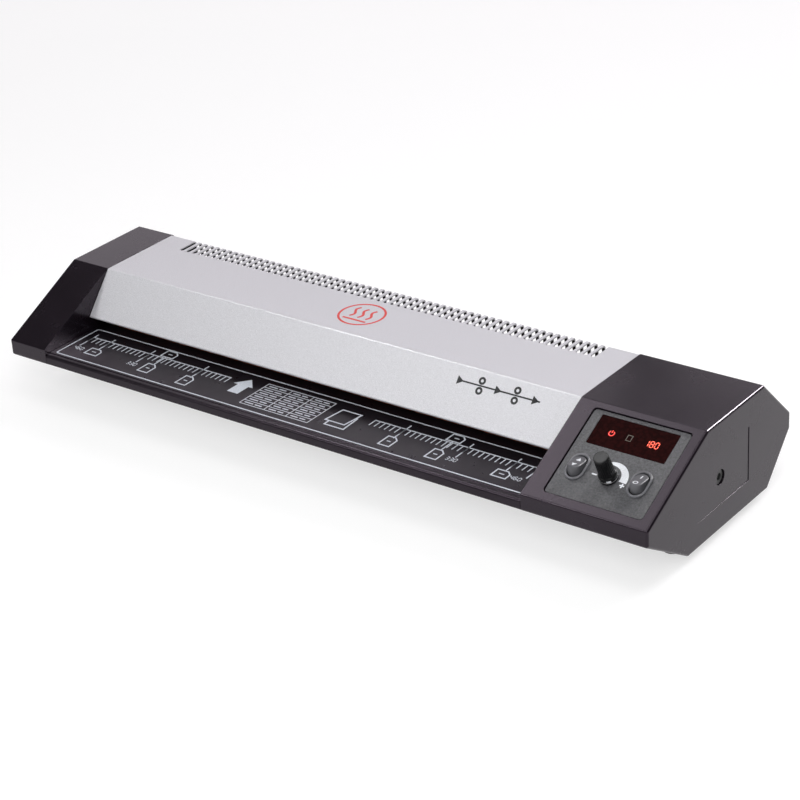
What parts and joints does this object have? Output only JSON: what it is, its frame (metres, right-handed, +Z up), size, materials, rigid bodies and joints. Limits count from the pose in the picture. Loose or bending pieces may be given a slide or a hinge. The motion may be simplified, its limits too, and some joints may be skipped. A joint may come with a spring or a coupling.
{
  "type": "pouch laminator",
  "caption": "Wide-format desktop pouch laminator with a sheet-steel cover, feed and exit trays, heated roller train, and a slanted control panel with rockers, a knob and a display.",
  "frame": {"origin": "centre of the footprint, on the plane of the feet's undersides", "axes": "+X along the length towards the control panel, +Y from the feed side to the exit side, +Z up"},
  "size_m": [0.6376, 0.2126, 0.0995],
  "materials": {
    "dark_shell": "moulded, very fine grain, satin",
    "painted_steel": "silver metallic paint on bent sheet",
    "tray_plastic": "smooth satin black",
    "panel_plastic": "spark-eroded grain",
    "bezel_plastic": "satin",
    "grey_plastic": "satin",
    "black_plastic": "satin",
    "smoked_window": "polished, dark red tint",
    "rubber": "matte",
    "silicone": "ground silicone rubber",
    "steel": "ground",
    "zinc_steel": "zinc plated",
    "aluminium": "extruded",
    "bronze": "sintered",
    "nylon": "moulded natural nylon",
    "circuit_board": "solder mask",
    "white_print": "screen printed ink",
    "red_print": "screen printed ink",
    "lit_digits": "lit display segments"
  },
  "bodies": {
    "housing": {"left_end_cap": "dark_shell", "right_end_cap": "dark_shell", "side_plug": "black_plastic", "cord_gland": "rubber", "top_cover": "painted_steel", "feed_tray": "tray_plastic", "exit_tray": "tray_plastic", "base_pan": "dark_shell", "foot_front_left": "rubber", "foot_front_right": "rubber", "foot_rear_left": "rubber", "foot_rear_right": "rubber", "side_frame_left": "zinc_steel", "side_frame_right": "zinc_steel", "pressure_spring_left": "steel", "pressure_spring_right": "steel", "idler_pin": "steel", "gear_motor": "zinc_steel", "upper_heating_bar": "aluminium", "lower_heating_bar": "aluminium", "thermal_cutout": "black_plastic", "upper_heat_shield": "zinc_steel", "lower_heat_shield": "zinc_steel", "control_panel": "panel_plastic", "display_window": "smoked_window", "display_board": "circuit_board", "reverse_switch_housing": "bezel_plastic", "power_switch_housing": "bezel_plastic", "potentiometer": "zinc_steel", "control_board": "circuit_board", "transformer": "steel", "upper_front_bearing_left": "bronze", "upper_front_bearing_right": "bronze", "lower_front_bearing_left": "bronze", "lower_front_bearing_right": "bronze", "upper_rear_bearing_left": "bronze", "upper_rear_bearing_right": "bronze", "lower_rear_bearing_left": "bronze", "lower_rear_bearing_right": "bronze"},
    "lower_rear_roller_set": {"lower_rear_roller": "silicone", "lower_rear_shaft": "steel", "lower_rear_gear": "nylon"},
    "upper_rear_roller_set": {"upper_rear_roller": "silicone", "upper_rear_shaft": "steel", "upper_rear_gear": "nylon"},
    "lower_front_roller_set": {"lower_front_roller": "silicone", "lower_front_shaft": "steel", "lower_front_gear": "nylon"},
    "upper_front_roller_set": {"upper_front_roller": "silicone", "upper_front_shaft": "steel", "upper_front_gear": "nylon"},
    "idler": {"idler_gear": "nylon"},
    "pinion": {"motor_pinion": "nylon"},
    "reverse_rocker_button": {"reverse_rocker": "grey_plastic"},
    "power_rocker_button": {"power_rocker": "grey_plastic"},
    "knob_assembly": {"knob": "black_plastic", "knob_cap": "grey_plastic", "knob_shaft": "aluminium"}
  },
  "joints": [
    {"name": "lower_rear_spin", "type": "hinge", "parent": "housing", "child": "lower_rear_roller_set", "pos_m": [0, 0.028, 0.04085], "axis": [1, 0, 0], "continuous": true},
    {"name": "upper_rear_spin", "type": "hinge", "parent": "housing", "child": "upper_rear_roller_set", "pos_m": [0, 0.028, 0.06915], "axis": [1, 0, 0], "continuous": true},
    {"name": "lower_front_spin", "type": "hinge", "parent": "housing", "child": "lower_front_roller_set", "pos_m": [0, -0.016, 0.04085], "axis": [1, 0, 0], "continuous": true},
    {"name": "upper_front_spin", "type": "hinge", "parent": "housing", "child": "upper_front_roller_set", "pos_m": [0, -0.016, 0.06915], "axis": [1, 0, 0], "continuous": true},
    {"name": "idler_spin", "type": "hinge", "parent": "housing", "child": "idler", "pos_m": [0.22, 0.006, 0.0355], "axis": [1, 0, 0], "continuous": true},
    {"name": "pinion_spin", "type": "hinge", "parent": "housing", "child": "pinion", "pos_m": [0.226, 0.04638, 0.03024], "axis": [1, 0, 0], "continuous": true},
    {"name": "reverse_rocker_tilt", "type": "hinge", "parent": "housing", "child": "reverse_rocker_button", "pos_m": [0.2394, -0.07387, 0.07309], "axis": [1, 0, 0], "range_deg": [0, 24]},
    {"name": "power_rocker_tilt", "type": "hinge", "parent": "housing", "child": "power_rocker_button", "pos_m": [0.2926, -0.07387, 0.07309], "axis": [1, 0, 0], "range_deg": [0, 24]},
    {"name": "knob_turn", "type": "hinge", "parent": "housing", "child": "knob_assembly", "pos_m": [0.2676, -0.07477, 0.07153], "axis": [0, -0.4439, 0.8961], "range_deg": [0, 290]}
  ],
  "couplings": [
    {"joint": "upper_rear_spin", "follows": "lower_rear_spin", "ratio": -1},
    {"joint": "lower_front_spin", "follows": "lower_rear_spin", "ratio": 1},
    {"joint": "upper_front_spin", "follows": "lower_rear_spin", "ratio": -1},
    {"joint": "idler_spin", "follows": "lower_rear_spin", "ratio": -1.6667},
    {"joint": "pinion_spin", "follows": "lower_rear_spin", "ratio": -2}
  ]
}
